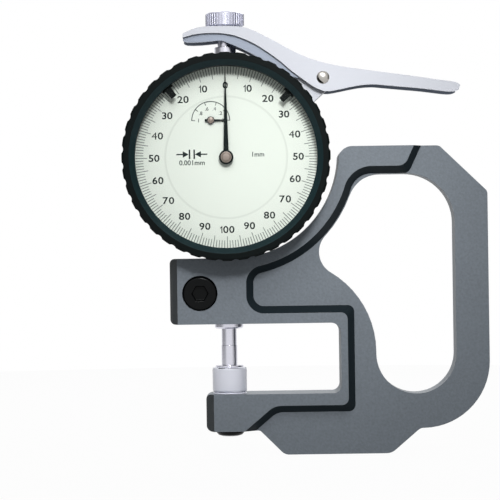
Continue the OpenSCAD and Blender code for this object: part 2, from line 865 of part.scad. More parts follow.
module dial_centre() {
    color("honeydew")
        difference() {
            rod(dial, dial_centre_d, dial_front, dial_back);
            for (p = [dial, counter_axis])
                rod(p, dial_hole_d, dial_front - cut, dial_back + cut);
        }
}

module bezel_snap_ring() {
    color("silver")
        ring(dial, case_d + 2 * snap_r, case_d - 2 * snap_r, snap_y - snap_h / 2, snap_y + snap_h / 2);
}

// Tab that points at a limit, on a foot that slides round inside the spacer ring
module limit_marker(angle) {
    outer = seat_r - spacer_t - marker_fit;
    tan_half = tan(marker_arc / 2);
    color("black")
        at(dial)
            rotate([0, -angle, 0])
                union() {
                    slab(marker_front, marker_front + marker_foot_h)
                        intersection() {
                            difference() {
                                circle(r = outer);
                                circle(r = outer - marker_foot);
                            }
                            polygon([[0, 0], 2 * outer * [1, -tan_half], 2 * outer * [1, tan_half]]);
                        }
                    slab(marker_front, marker_front + marker_t)
                        translate([outer - marker_in, -marker_w / 2])
                            square([marker_in - marker_foot / 2, marker_w]);
                }
}

module limit_marker_left() {
    limit_marker(marker_angles[0]);
}

module limit_marker_right() {
    limit_marker(marker_angles[1]);
}

// Rack flank: a gap between teeth, centred at height 0
module rack_gap() {
    m = rack_pitch / PI;
    half = rack_pitch / 4 * (1 + backlash);
    slope = tan(pressure);
    inner = dedendum * m;
    outer = spindle_d;
    polygon([[-inner, -half + inner * slope], [outer, -half - outer * slope], [outer, half + outer * slope],
        [-inner, half - inner * slope]]);
}

module spindle() {
    low = ceil((rack_z[0] - rack_axis[1]) / rack_pitch);
    high = floor((rack_z[1] - rack_axis[1]) / rack_pitch);
    color("silver")
        difference() {
            translate([0, 0, shank_top + closed_gap])
                cylinder(d = spindle_d, h = spindle_top - shank_top - closed_gap);
            translate([rack_line + wheel_add * rack_pitch / PI, -spindle_d, rack_z[0]])
                cube([spindle_d, 2 * spindle_d, rack_z[1] - rack_z[0]]);
            for (k = [low:high])
                at([rack_line, rack_axis[1] + k * rack_pitch])
                    slab(-spindle_d, spindle_d)
                        rack_gap();
            translate([0, 0, shank_top])
                cylinder(d = stud_d, h = stud_l + end_room);
            translate([0, 0, spindle_top - stud_l])
                cylinder(d = stud_d, h = stud_l + cut);
            side_hole(guide_z, guide_pin_d);
            side_hole(spring_pin_z, spring_pin_d);
        }
}

// Blind hole from the left into the spindle
module side_hole(z, d) {
    translate([-spindle_d, 0, z])
        rotate([0, 90, 0])
            cylinder(d = d, h = spindle_d - pin_stop);
}

// Domed knob with a knurled side, screwed onto the spindle's top
module lift_knob() {
    r = knob_d / 2;
    top = knob_z + knob_h;
    color("silver")
        union() {
            difference() {
                spun([[0, knob_z], [r, knob_z], [r, top - knob_dome],
                    [r - knob_dome / 3, top - knob_dome / 2],
                    [r - knob_dome * 1.5, top - knob_dome / 6], [0, top]]);
                for (k = [0:knob_knurls - 1])
                    rotate(360 * k / knob_knurls)
                        translate([r + knob_knurl_d / 4, 0, knob_z - cut])
                            cylinder(d = knob_knurl_d, h = knob_h + 2 * cut);
            }
            translate([0, 0, knob_z - stud_l + end_room])
                cylinder(d = stud_d, h = stud_l);
        }
}

module contact_shank() {
    low = closed_gap + contact_h;
    top = shank_top + closed_gap;
    color("silver")
        spun([[0, low], [shank_flange_d / 2, low], [shank_flange_d / 2, low + shank_flange_h],
            [shank_d / 2, low + shank_flange_h], [shank_d / 2, top], [stud_d / 2, top],
            [stud_d / 2, top + stud_l], [0, top + stud_l]]);
}

module ceramic_contact() {
    r = contact_d / 2;
    top = closed_gap + contact_h;
    color("whitesmoke")
        spun([[0, closed_gap], [r - contact_bevel, closed_gap], [r, closed_gap + contact_bevel],
            [r, top - contact_bevel], [r - contact_bevel, top], [0, top]]);
}

module guide_pin() {
    color("silver")
        translate([guide_pin_end, 0, guide_z])
            rotate([0, 90, 0])
                cylinder(d = guide_pin_d, h = -guide_pin_end - pin_stop);
}

module spring_pin() {
    color("silver")
        translate([spring_x - spring_coil_r - spring_wire, 0, spring_pin_z])
            rotate([0, 90, 0])
                cylinder(d = spring_pin_d, h = spring_coil_r + spring_wire - spring_x - pin_stop);
}

// Plate behind the wheels that carries their rear pivots
module bridge_plate() {
    color("goldenrod")
        difference() {
            rod(bridge_at, 2 * bridge_r, bridge_front, bridge_back);
            for (p = [middle_axis, dial, counter_axis])
                rod(p, jewel_d, bridge_front - cut, bridge_back + cut);
            rod(rack_axis, arbor_d + 2 * arbor_room, bridge_front - cut, bridge_back + cut);
            for (p = pillars)
                rod(p, bridge_screw_d, bridge_front - cut, bridge_back + cut);
        }
}

module bridge_pillars() {
    color("gold")
        for (p = pillars)
            difference() {
                rod(p, pillar_d, plate_back, bridge_front);
                rod(p, bridge_screw_d, bridge_front - bridge_screw_l, bridge_front + cut);
            }
}

module bridge_screws() {
    color("silver")
        for (p = pillars) {
            rod(p, bridge_screw_d, bridge_front - bridge_screw_l + end_room, bridge_back);
            rod(p, bridge_screw_head_d, bridge_back, bridge_back + bridge_screw_head_h);
        }
}

// Small plate behind the rack that carries the pinion's rear pivot
module rear_cock() {
    eye = jewel_d / 2 + cock_rim;
    color("goldenrod")
        slab(cock_plane[0], cock_plane[1])
            difference() {
                union() {
                    translate(rack_axis)
                        circle(r = eye);
                    for (p = cock_pillars) {
                        translate(p)
                            circle(r = eye);
                        translate(rack_axis)
                            rotate(heading(p - rack_axis))
                                translate([0, -eye])
                                    square([norm(p - rack_axis), 2 * eye]);
                    }
                }
                translate(rack_axis)
                    circle(d = jewel_d);
            }
}

module cock_pillars() {
    color("gold")
        for (p = cock_pillars)
            rod(p, cock_pillar_d, bridge_back, cock_plane[0]);
}

module jewel_bearings() {
    bore = arbor_d + 2 * running_fit;
    color("crimson")
        union() {
            for (p = [rack_axis, middle_axis, dial, counter_axis])
                ring(p, jewel_d, bore, plate_back - jewel_t, plate_back);
            for (p = [middle_axis, dial, counter_axis])
                ring(p, jewel_d, bore, bridge_front + jewel_inset, bridge_front + jewel_inset + jewel_t);
            ring(rack_axis, jewel_d, bore, cock_plane[0] + jewel_inset,
                cock_plane[0] + jewel_inset + jewel_t);
        }
}

// Slotted block that keeps the spindle from turning
module guide_block() {
    half = guide_pin_d / 2 + running_fit;
    color("gray")
        difference() {
            translate([guide_x[0], plate_back, guide_block_z[0]])
                cube([guide_x[1] - guide_x[0], half + guide_wall - plate_back,
                    guide_block_z[1] - guide_block_z[0]]);
            translate([guide_pin_end - guide_room, -half, guide_z - half - guide_room])
                cube([beyond, 2 * half, travel + 2 * half + 2 * guide_room]);
        }
}

module spring_post() {
    color("silver")
        rod([spring_x, spring_post_z], spring_pin_d, bridge_back, spring_coil_r + spring_wire);
}

// Coil between two eyes, swept with a six-sided wire
spring_low = spring_post_z + spring_pin_d / 2 + spring_seat;
spring_high = spring_pin_z - spring_pin_d / 2 - spring_seat;
spring_segments = 12;
spring_sides = 6;
function coil_point(t) =
    [spring_x, 0, spring_low + spring_wire / 2] + [spring_coil_r * cos(360 * spring_turns * t),
        spring_coil_r * sin(360 * spring_turns * t), (spring_high - spring_low - spring_wire) * t];
function coil_ring(t) =
    let (a = 360 * spring_turns * t)
    [for (k = [0:spring_sides - 1])
        coil_point(t) + spring_wire / 2 * (cos(360 * k / spring_sides) * [cos(a), sin(a), 0]
            + sin(360 * k / spring_sides) * [0, 0, 1])];

module return_spring() {
    n = spring_turns * spring_segments;
    s = spring_sides;
    color("silver")
        polyhedron(
            points = [for (i = [0:n]) each coil_ring(i / n)],
            faces = concat([[for (k = [0:s - 1]) k]], [[for (k = [0:s - 1]) n * s + s - 1 - k]],
                [for (i = [0:n - 1], k = [0:s - 1])
                    [i * s + k, (i + 1) * s + k, (i + 1) * s + (k + 1) % s, i * s + (k + 1) % s]]));
}

module rack_pinion_arbor() {
    color("silver")
        union() {
            rod(rack_axis, arbor_d, plate_back - pivot_end, cock_plane[0] + jewel_inset + pivot_end);
            pinion(rack_axis, rack_teeth, rack_pitch / PI, 0, rack_plane);
        }
}

module drive_gear() {
    color("gold")
        wheel(rack_axis, drive_teeth, drive_phase, drive_plane, 4);
}

module intermediate_arbor() {
    color("silver")
        union() {
            rod(middle_axis, arbor_d, plate_back - pivot_end, bridge_front + jewel_inset + pivot_end);
            pinion(middle_axis, pinion_teeth, module_w, middle_pinion_phase, drive_plane);
        }
}

module intermediate_gear() {
    color("gold")
        wheel(middle_axis, middle_teeth, middle_phase, middle_plane, 4);
}

module centre_arbor() {
    color("silver")
        union() {
            rod(dial, arbor_d, hub_plane[0] + hub_cap, bridge_front + jewel_inset + pivot_end);
            pinion(dial, pinion_teeth, module_w, centre_phase, middle_plane);
        }
}

// Tapered needle pointing along a direction, with an eye on its arbor
module needle(p, direction, reach, tail, base, point, eye, bore, plane) {
    at(p)
        slab(plane[0], plane[1])
            difference() {
                rotate(direction)
                    union() {
                        polygon([[-tail, -base / 2], [0, -base / 2], [reach, -point / 2], [reach, point / 2],
                            [0, base / 2], [-tail, base / 2]]);
                        circle(d = eye);
                    }
                circle(d = bore);
            }
}

module main_pointer() {
    color("black")
        needle(dial, 90, pointer_reach, pointer_tail, pointer_base, pointer_point, pointer_boss,
            pointer_eye, pointer_plane);
}

module pointer_hub() {
    flange_y = pointer_plane[0];
    color("saddlebrown")
        turned([[arbor_d / 2, hub_plane[1]], [pointer_eye / 2, hub_plane[1]], [pointer_eye / 2, flange_y],
            [hub_d / 2, flange_y], [hub_d / 2, hub_plane[0] + hub_edge], [hub_d / 2 - hub_edge, hub_plane[0]],
            [0, hub_plane[0]], [0, hub_plane[0] + hub_cap], [arbor_d / 2, hub_plane[0] + hub_cap]]);
}

module counter_arbor() {
    color("silver")
        rod(counter_axis, arbor_d, counter_pointer_plane[0] - counter_tip_h,
            bridge_front + jewel_inset + pivot_end);
}

module counter_gear() {
    color("gold")
        wheel(counter_axis, counter_teeth, counter_phase, middle_plane, 5);
}

module counter_pointer() {
    color("black")
        needle(counter_axis, 0, counter_reach, counter_tail, counter_base, counter_point, counter_eye,
            arbor_d, counter_pointer_plane);
}

// Flat spiral from the collet out to the stud
hair_out = hair_in + hair_turns * hair_pitch;
function hair_line(side) =
    [for (k = [0:hair_turns * hair_steps])
        polar(hair_in + hair_pitch * k / hair_steps + (side + 1) * hair_wire / 2, 360 * k / hair_steps)];

module hairspring() {
    inner = hair_line(-1);
    outer = hair_line(1);
    n = len(outer);
    color("steelblue")
        at(counter_axis)
            slab(hair_plane[0], hair_plane[1])
                polygon(concat(outer, [for (i = [n - 1:-1:0]) inner[i]]));
}

module hairspring_collet() {
    color("gold")
        ring(counter_axis, collet_d, arbor_d, hair_plane[0] - collet_over, hair_plane[1] + collet_over);
}

module hairspring_stud() {
    color("silver")
        rod(counter_axis + [hair_out + hair_wire + hair_stud_d / 2, 0], hair_stud_d,
            hair_plane[0] - 2 * collet_over, bridge_front);
}

// Stamped channel: two sides and an arched web with a slot for the spindle
module lift_lever() {
    upper = [for (p = smooth(lever_upper)) pivot + p];
    lower = [for (p = smooth(lever_lower)) pivot + p];
    lip = [for (p = smooth(lever_lip)) pivot + p];
    n = len(upper);
    lip_end = lip[len(lip) - 1][0];
    color("lavender")
        difference() {
            union() {
                for (y = [-lever_half, lever_half - lever_t])
                    slab(y, y + lever_t)
                        polygon(concat(upper, lower));
                for (y = [-lever_half + lever_t, lever_half - 2 * lever_t])
                    slab(y, y + lever_t)
                        polygon(concat(lip, [for (i = [n - 1:-1:0]) if (upper[i][0] < lip_end)
                            upper[i] - [0, lever_t / 2]]));
                slab(-lever_half, lever_half)
                    polygon(concat(upper, [for (i = [n - 1:-1:0]) upper[i] - [0, lever_t]]));
            }
            translate([-lever_slot[0] / 2 - lever_slot_shift, -lever_slot[1] / 2, lever_slot_z[0]])
                cube([lever_slot[0], lever_slot[1], lever_slot_z[1] - lever_slot_z[0]]);
            rod(pivot, pivot_d + 2 * running_fit, -lever_w, lever_w);
        }
}

// Rivet through both sides of the lever and the bracket
module lever_pin() {
    side = lever_half + running_fit;
    color("silver")
        union() {
            rod(pivot, pivot_d, -side, side);
            for (y = [-side - pivot_head_h, side])
                rod(pivot, pivot_head_d, y, y + pivot_head_h);
        }
}

// Screw on the bracket's middle, square to the case
module bracket_screw_place() {
    for (y = [-bracket_half / 2, bracket_half / 2])
        translate([0, y, dial_z])
            rotate([0, 90 - bracket_screw_angle, 0])
                translate([0, 0, case_r])
                    children();
}

// Foot that follows the case, with a round eye for the pivot
module lever_bracket() {
    foot = [for (a = bracket_foot) dial + polar(case_r, a)];
    middle = dial + polar(case_r - cut, (bracket_foot[0] + bracket_foot[1]) / 2);
    color("silver")
        difference() {
            slab(-bracket_half, bracket_half)
                difference() {
                    union() {
                        polygon([foot[0], bracket_under, pivot, pivot + polar(bracket_r, bracket_slant),
                            bracket_top, foot[1], middle]);
                        translate(pivot)
                            circle(r = bracket_r);
                    }
                    translate(dial)
                        circle(r = case_r);
                }
            rod(pivot, pivot_d, -lever_w, lever_w);
            bracket_screw_place()
                translate([0, 0, bracket_screw_grip]) {
                    cylinder(d = bracket_screw_head_d + 2 * head_fit, h = beyond);
                    translate([0, 0, -bracket_screw_grip - cut])
                        cylinder(d = bracket_screw_d, h = bracket_screw_grip + 2 * cut);
                }
        }
}

module bracket_screws() {
    color("silver")
        bracket_screw_place() {
            translate([0, 0, -case_wall])
                cylinder(d = bracket_screw_d, h = case_wall + bracket_screw_grip);
            translate([0, 0, bracket_screw_grip])
                cylinder(d = bracket_screw_head_d, h = bracket_screw_head_h);
        }
}

frame_casting();
clamp_screw();
anvil_disc();
anvil_post();
anvil_screw();
indicator_case();
stem();
lower_bush();
stem_bush();
top_bush();
back_cover();
back_gasket();
back_cover_screws();
bezel();
crystal();
spacer_ring();
dial_ring();
dial_centre();
bezel_snap_ring();
limit_marker_left();
limit_marker_right();
spindle();
lift_knob();
contact_shank();
ceramic_contact();
guide_pin();
spring_pin();
bridge_plate();
bridge_pillars();
bridge_screws();
rear_cock();
cock_pillars();
jewel_bearings();
guide_block();
spring_post();
return_spring();
rack_pinion_arbor();
drive_gear();
intermediate_arbor();
intermediate_gear();
centre_arbor();
main_pointer();
pointer_hub();
counter_arbor();
counter_gear();
counter_pointer();
hairspring();
hairspring_collet();
hairspring_stud();
lift_lever();
lever_pin();
lever_bracket();
bracket_screws();
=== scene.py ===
# Dial thickness gauge, dressed for pictures: enamelled frame, fluted bezel, printed dial, plated lift lever.
# Every mesh is in metres in the CAD frame: X to the handle, Y to the back, Z up the spindle.
import json
import math

import bmesh
import bpy
from mathutils import Matrix, Vector

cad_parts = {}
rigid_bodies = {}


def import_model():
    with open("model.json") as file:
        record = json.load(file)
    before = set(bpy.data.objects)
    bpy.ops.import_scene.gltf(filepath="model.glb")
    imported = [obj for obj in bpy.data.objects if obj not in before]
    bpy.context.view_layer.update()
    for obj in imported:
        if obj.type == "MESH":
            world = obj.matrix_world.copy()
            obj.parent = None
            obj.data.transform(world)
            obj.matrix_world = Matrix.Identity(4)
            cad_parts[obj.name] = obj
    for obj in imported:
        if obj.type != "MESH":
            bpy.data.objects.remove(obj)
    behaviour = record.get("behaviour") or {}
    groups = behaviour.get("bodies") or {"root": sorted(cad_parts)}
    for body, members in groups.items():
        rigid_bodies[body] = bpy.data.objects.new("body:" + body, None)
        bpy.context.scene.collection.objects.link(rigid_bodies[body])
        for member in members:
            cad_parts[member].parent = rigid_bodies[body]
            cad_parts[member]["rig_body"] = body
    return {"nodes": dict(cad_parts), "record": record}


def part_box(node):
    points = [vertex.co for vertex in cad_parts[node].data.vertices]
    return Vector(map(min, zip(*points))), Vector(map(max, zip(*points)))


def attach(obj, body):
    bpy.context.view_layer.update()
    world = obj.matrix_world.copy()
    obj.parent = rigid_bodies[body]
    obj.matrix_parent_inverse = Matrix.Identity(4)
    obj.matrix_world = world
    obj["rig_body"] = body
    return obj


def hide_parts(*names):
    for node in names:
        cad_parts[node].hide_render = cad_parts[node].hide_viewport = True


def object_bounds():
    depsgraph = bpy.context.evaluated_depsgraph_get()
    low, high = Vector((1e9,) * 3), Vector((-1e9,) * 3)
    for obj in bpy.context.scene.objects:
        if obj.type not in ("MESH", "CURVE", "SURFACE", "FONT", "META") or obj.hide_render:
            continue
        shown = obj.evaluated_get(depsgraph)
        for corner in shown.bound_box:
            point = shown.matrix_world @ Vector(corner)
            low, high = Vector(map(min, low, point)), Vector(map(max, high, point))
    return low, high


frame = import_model()
cad_box = [list(corner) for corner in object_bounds()]

MM = 0.001
NODES = frame["nodes"]
SLOT_OF = {part["node"]: part["material_slot"] for part in frame["record"]["subparts"]}


def middle(node):
    """The middle of a CAD node's box, in metres."""
    low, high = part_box(node)
    return (low + high) / 2


def radius_of(node):
    """Half the width of a round CAD node, in mm."""
    low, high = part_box(node)
    return (high.x - low.x) / 2 / MM


def depth(node):
    """A CAD node's size along the view, in mm, and where its back lies, in metres."""
    low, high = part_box(node)
    return (high.y - low.y) / MM, high.y


DIAL = middle("crystal")
FACE_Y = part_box("dial_ring")[0].y
COUNTER = middle("counter_arbor")
KNOB = middle("lift_knob")
# Turns what is drawn flat in X and Y to face the viewer
UPRIGHT = Matrix.Rotation(math.radians(90), 4, "X")


class Wire:
    """A socket in a node tree: arithmetic on it adds Math nodes, and add() places any other node."""

    def __init__(self, tree, socket=None):
        self.tree = tree
        self.socket = socket

    def add(self, kind, settings=None, values=None, out=0):
        """A node with its settings, then its sockets' values or links; gives one of its outputs."""
        node = self.tree.nodes.new(kind)
        for name, value in (settings or {}).items():
            setattr(node, name, value)
        for name, value in (values or {}).items():
            if isinstance(value, Wire):
                self.tree.links.new(value.socket, node.inputs[name])
            else:
                node.inputs[name].default_value = value
        return Wire(self.tree, node.outputs[out] if len(node.outputs) else None)

    def math(self, operation, a, b=0.0):
        return self.add("ShaderNodeMath", {"operation": operation}, {0: a, 1: b})

    def __add__(self, other):
        return self.math("ADD", self, other)

    def __radd__(self, other):
        return self.math("ADD", other, self)

    def __sub__(self, other):
        return self.math("SUBTRACT", self, other)

    def __rsub__(self, other):
        return self.math("SUBTRACT", other, self)

    def __mul__(self, other):
        return self.math("MULTIPLY", self, other)

    def __rmul__(self, other):
        return self.math("MULTIPLY", other, self)


def blank(owner):
    """The emptied node tree of a material or a world."""
    owner.use_nodes = True
    owner.node_tree.nodes.clear()
    return Wire(owner.node_tree)


def srgb(red, green, blue):
    """A colour as it is seen on a screen, 0 to 255, made linear."""
    levels = [v / 255 for v in (red, green, blue)]
    return [v / 12.92 if v <= 0.04045 else ((v + 0.055) / 1.055) ** 2.4 for v in levels]


def sheen(level):
    """How strongly a finish mirrors lamps."""
    return {"Specular IOR Level": level}


def surface(name, colour, roughness, metallic=0.0, grain=1500.0, stretch=(1, 1, 1), relief=0.01,
            mottle=0.06, patch=70.0, gloss=0.12, speck=0.06, **constants):
    """A finish with clouds of colour, and a fine grain in its colour (speck), gloss and relief (mm)."""
    material = bpy.data.materials.new(name)
    start = blank(material)
    here = start.add("ShaderNodeTexCoord", out="Object")
    drawn = start.add("ShaderNodeMapping", values={"Vector": here, "Scale": stretch})
    fine = start.add("ShaderNodeTexNoise",
                     values={"Vector": drawn, "Scale": grain, "Detail": 3.0, "Roughness": 0.6})
    cloud = start.add("ShaderNodeTexNoise", values={"Vector": here, "Scale": patch, "Detail": 2.0})
    shade = 1 + (cloud - 0.5) * (2 * mottle) + (fine - 0.5) * speck
    tint = start.add("ShaderNodeVectorMath", {"operation": "SCALE"}, {"Vector": colour, "Scale": shade})
    bump = start.add("ShaderNodeBump", values={"Strength": 1.0, "Distance": relief * MM, "Height": fine})
    shader = start.add("ShaderNodeBsdfPrincipled", values={
        "Base Color": tint, "Roughness": roughness + (fine - 0.5) * gloss, "Metallic": metallic,
        "Normal": bump, **constants})
    start.add("ShaderNodeOutputMaterial", values={"Surface": shader})
    return material


LATHE = (0.02, 0.02, 1)
BRUSH_X = (0.05, 1, 1)
DULL = sheen(0.05)

ENAMEL = surface("grey_enamel", srgb(119, 127, 135), 0.5, grain=1500, relief=0.06, mottle=0.05, patch=45,
                 gloss=0.2, speck=0.5, **sheen(0.3))
# Painted shade: the frame's sloped walls get a dark enamel colour, as walls turned from the lamps look
SLOPE_PAINTED_SHADE = surface("enamel_slopes_painted_shade", srgb(32, 41, 46), 0.45, grain=2600, relief=0.04, mottle=0.06,
                patch=60, **DULL)
# Painted shade: the steep ends of the arms get a darker enamel colour, as faces turned from the lamps look
ARM_TIP_PAINTED_SHADE = surface("enamel_arm_tips_painted_shade", srgb(56, 61, 64), 0.5, grain=2600, relief=0.04, mottle=0.06,
                  patch=60, **DULL)
EDGE = surface("enamel_rubbed_edge", srgb(110, 117, 124), 0.3, grain=1200, relief=0.01, mottle=0.1,
               patch=160)
BLACK_OXIDE = surface("black_oxide", srgb(9, 11, 12), 0.22, grain=1800, relief=0.006, mottle=0.2,
                      **sheen(0.1))
BEZEL_BLACK = surface("bezel_black", srgb(11, 17, 17), 0.4, grain=2400, relief=0.012, mottle=0.1,
                      patch=90, **DULL)
# Painted sheen: the bezel's black sloped inner ring is given a lighter teal colour
BEZEL_BEVEL_SHEEN = surface("bezel_bevel_painted_sheen", srgb(24, 42, 45), 0.3, grain=1600, relief=0.004, mottle=0.1,
                      patch=40, **sheen(0.12))
DIAL_WHITE = surface("dial_white", srgb(240, 248, 238), 0.45, grain=3000, relief=0.003, mottle=0.008,
                     patch=30, **DULL)
DIAL_INK = surface("dial_ink", srgb(40, 48, 48), 0.6, grain=4000, relief=0.001, mottle=0.1,
                   patch=300, **DULL)
FINE_INK = surface("fine_dial_ink", srgb(84, 94, 92), 0.6, grain=4000, relief=0.001, mottle=0.1,
                   patch=300, **DULL)
POINTER_BLACK = surface("pointer_black", srgb(16, 24, 24), 0.4, grain=3000, relief=0.002, mottle=0.1,
                        patch=200, **DULL)
SEAM_GREY = surface("dial_seam_grey", srgb(229, 237, 227), 0.5, grain=3000, relief=0.002, mottle=0.02,
                    patch=60, **DULL)
TAB_BLACK = surface("tab_black", srgb(7, 10, 10), 0.5, grain=2500, relief=0.003, mottle=0.1,
                    patch=200, **DULL)
HUB_BROWN = surface("hub_bronze", srgb(134, 122, 113), 0.4, metallic=0.25, grain=2500, relief=0.003,
                    mottle=0.1)
GROUND_STEEL = surface("ground_steel", srgb(214, 214, 224), 0.2, metallic=1.0, grain=2600, stretch=LATHE,
                       relief=0.002, mottle=0.05, gloss=0.1)
RIVET_STEEL = surface("rivet_steel", srgb(176, 173, 168), 0.2, metallic=1.0, grain=1800, relief=0.004,
                      mottle=0.08)
SATIN_CHROME = surface("satin_chrome", srgb(206, 207, 221), 0.28, metallic=1.0, grain=1800, relief=0.003,
                       mottle=0.04)
PLATED_LEVER = surface("plated_lever", srgb(206, 209, 217), 0.5, metallic=0.1, grain=1600, stretch=BRUSH_X,
                       relief=0.004, mottle=0.025, gloss=0.1)
# Painted shade: the lever's underside and inner lips are a darker copy of its plating
LEVER_INSIDE_SHADE = surface("lever_inside_painted_shade", srgb(130, 138, 152), 0.4, metallic=0.4, grain=1600, stretch=BRUSH_X,
                       relief=0.004, mottle=0.08)
CERAMIC = surface("white_ceramic", srgb(241, 243, 254), 0.3, grain=2200, relief=0.001, mottle=0.01,
                  patch=120, gloss=0.04, speck=0.02, **{"Coat Weight": 0.2})
CASE_SILVER = surface("case_silver", srgb(168, 170, 174), 0.38, metallic=0.9, grain=2200, relief=0.008,
                      mottle=0.05)
BRASS = surface("gilt_brass", srgb(226, 190, 110), 0.3, metallic=1.0, grain=2200, stretch=BRUSH_X,
                relief=0.002)
BRONZE = surface("bush_bronze", srgb(186, 142, 88), 0.4, metallic=1.0, grain=2000, relief=0.004, mottle=0.1)
RUBBER = surface("seal_rubber", srgb(26, 26, 27), 0.75, grain=2500, relief=0.01, mottle=0.15)
JEWEL = surface("red_jewel", srgb(190, 30, 55), 0.1, grain=900, relief=0.001, mottle=0.1)
BLUED = surface("blued_steel", srgb(70, 84, 140), 0.3, metallic=1.0, grain=2400, relief=0.002, mottle=0.12)
CRYSTAL = surface("clear_crystal", srgb(110, 126, 122), 0.06, grain=400, relief=0.0005, mottle=0.01,
                  gloss=0.02, Alpha=0.015)

FINISH_OF_SLOT = {
    "grey_paint": ENAMEL, "black_steel": BLACK_OXIDE, "ceramic": CERAMIC, "steel": GROUND_STEEL,
    "knob_chrome": SATIN_CHROME, "case_metal": CASE_SILVER, "bush_bronze": BRONZE, "seal": RUBBER,
    "bezel_black": BEZEL_BLACK, "clear": CRYSTAL, "dial_white": DIAL_WHITE, "black_tab": TAB_BLACK,
    "gilt": BRASS, "jewel": JEWEL, "pointer_black": POINTER_BLACK, "hub_brown": HUB_BROWN,
    "blued_spring": BLUED, "lever_plate": PLATED_LEVER,
}


def show(name, mesh, finishes=()):
    """An object at the origin in the scene, with its finishes in order."""
    thing = bpy.data.objects.new(name, mesh)
    bpy.context.scene.collection.objects.link(thing)
    for finish in finishes:
        mesh.materials.append(finish)
    return thing


def as_mesh(shape, name):
    """A mesh of a shape under work, which is freed."""
    mesh = bpy.data.meshes.new(name)
    shape.to_mesh(mesh)
    shape.free()
    return mesh


def settled(thing):
    """The object's mesh with its modifiers worked in; the object is removed."""
    bpy.context.view_layer.update()
    ready = thing.evaluated_get(bpy.context.evaluated_depsgraph_get())
    mesh = bpy.data.meshes.new_from_object(ready)
    bpy.data.objects.remove(thing)
    return mesh


def place(name, mesh, body, slot, *replaced):
    """Hands a finished mesh over as a piece of the object."""
    thing = show(name, mesh)
    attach(thing, body)
    if replaced:
        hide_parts(*replaced)


def sloped(normal):
    """Whether a face leans between facing the viewer and standing square to the view."""
    return 0.15 < abs(normal.y) < 0.97


# For copies of CAD nodes: what counts as one point (mm) and as one flat face (degrees),
# and the bends between sloped walls that are rounded (degrees)
SAME_SPOT = 0.0005
FLAT_BEND = 0.4
CORNER_BEND = 20
CORNER_STEPS = 6


def merged(node, corner):
    """A copy of a CAD node with its flat faces made whole; corners between sloped walls are rounded (mm)."""
    shape = bmesh.new()
    shape.from_mesh(NODES[node].data)
    bmesh.ops.remove_doubles(shape, verts=shape.verts, dist=SAME_SPOT * MM)
    bmesh.ops.dissolve_limit(shape, angle_limit=math.radians(FLAT_BEND), verts=shape.verts,
                             edges=shape.edges)
    if corner:
        sharp = [edge for edge in shape.edges
                 if len(edge.link_faces) == 2 and all(sloped(face.normal) for face in edge.link_faces)
                 and edge.calc_face_angle() > math.radians(CORNER_BEND) and edge.verts[0].co.x > 0]
        bmesh.ops.bevel(shape, geom=sharp, offset=corner * MM, segments=CORNER_STEPS, profile=0.5,
                        affect="EDGES")
    mesh = as_mesh(shape, node)
    for layer in [a for a in mesh.attributes if a.name == "custom_normal"]:
        mesh.attributes.remove(layer)
    return mesh


def dress(node, name, edge, finishes=None, sort=None, edge_finish=-1, steps=2, angle=28, corner=0.0,
          form=None):
    """Replaces a CAD node by a copy with rounded edges (mm).

    sort picks a finish by a face's normal and middle, and form moves each point before the rounding.
    """
    mesh = merged(node, corner)
    if form:
        for vert in mesh.vertices:
            vert.co = form(vert.co)
    for face in mesh.polygons:
        face.use_smooth = True
        face.material_index = sort(face.normal, face.center) if sort else 0
    thing = show(name + "_rough", mesh, finishes or [FINISH_OF_SLOT[SLOT_OF[node]]])
    rounding = thing.modifiers.new("rounding", "BEVEL")
    rounding.width = edge * MM
    rounding.segments = steps
    rounding.limit_method = "ANGLE"
    rounding.angle_limit = math.radians(angle)
    rounding.harden_normals = True
    rounding.material = edge_finish
    ready = settled(thing)
    ready.name = name
    place(name, ready, NODES[node]["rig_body"], SLOT_OF[node], node)


ARM_TIP_X = -4.0
LEVER_SIDE_Y = 5.9


def frame_face(normal, spot):
    """0 flat enamel, 1 painted shade on a slope between arm and web, 2 painted shade on the steep tip of an
    arm.
    """
    if not sloped(normal):
        return 0
    return 2 if normal.x < -0.5 and spot.x < ARM_TIP_X * MM else 1


def bezel_face(normal, spot):
    """1 on the sloped ring inside the rim, which carries a painted teal sheen, 0 elsewhere."""
    inward = (spot.x - DIAL.x) * normal.x + (spot.z - DIAL.z) * normal.z < 0
    return 1 if inward and -0.95 < normal.y < -0.2 else 0


def lever_face(normal, spot):
    """1 on the underside and the inner lips, where the plating is painted darker as shade, 0 on the outside.
    """
    outside = abs(spot.y) > LEVER_SIDE_Y * MM or normal.z > 0.3
    return 0 if outside else 1


dress("frame_casting", "enamel_frame", 0.5, [ENAMEL, SLOPE_PAINTED_SHADE, ARM_TIP_PAINTED_SHADE, EDGE], frame_face, edge_finish=3,
      steps=3, corner=1.6)
dress("bezel", "fluted_bezel", 0.25, [BEZEL_BLACK, BEZEL_BEVEL_SHEEN], bezel_face)

LEVER_LOW, LEVER_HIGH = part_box("lift_lever")
WEB_END = 0.05
WEB_HIGH = 1.2
WEB_TRIM = 0.35


def trimmed_tip(spot):
    """Draws the end of the lever's web back to the round of its sides."""
    at_end = spot.x > LEVER_HIGH.x - WEB_END * MM and spot.z < LEVER_LOW.z + WEB_HIGH * MM
    return spot - Vector((WEB_TRIM * MM if at_end else 0, 0, 0))


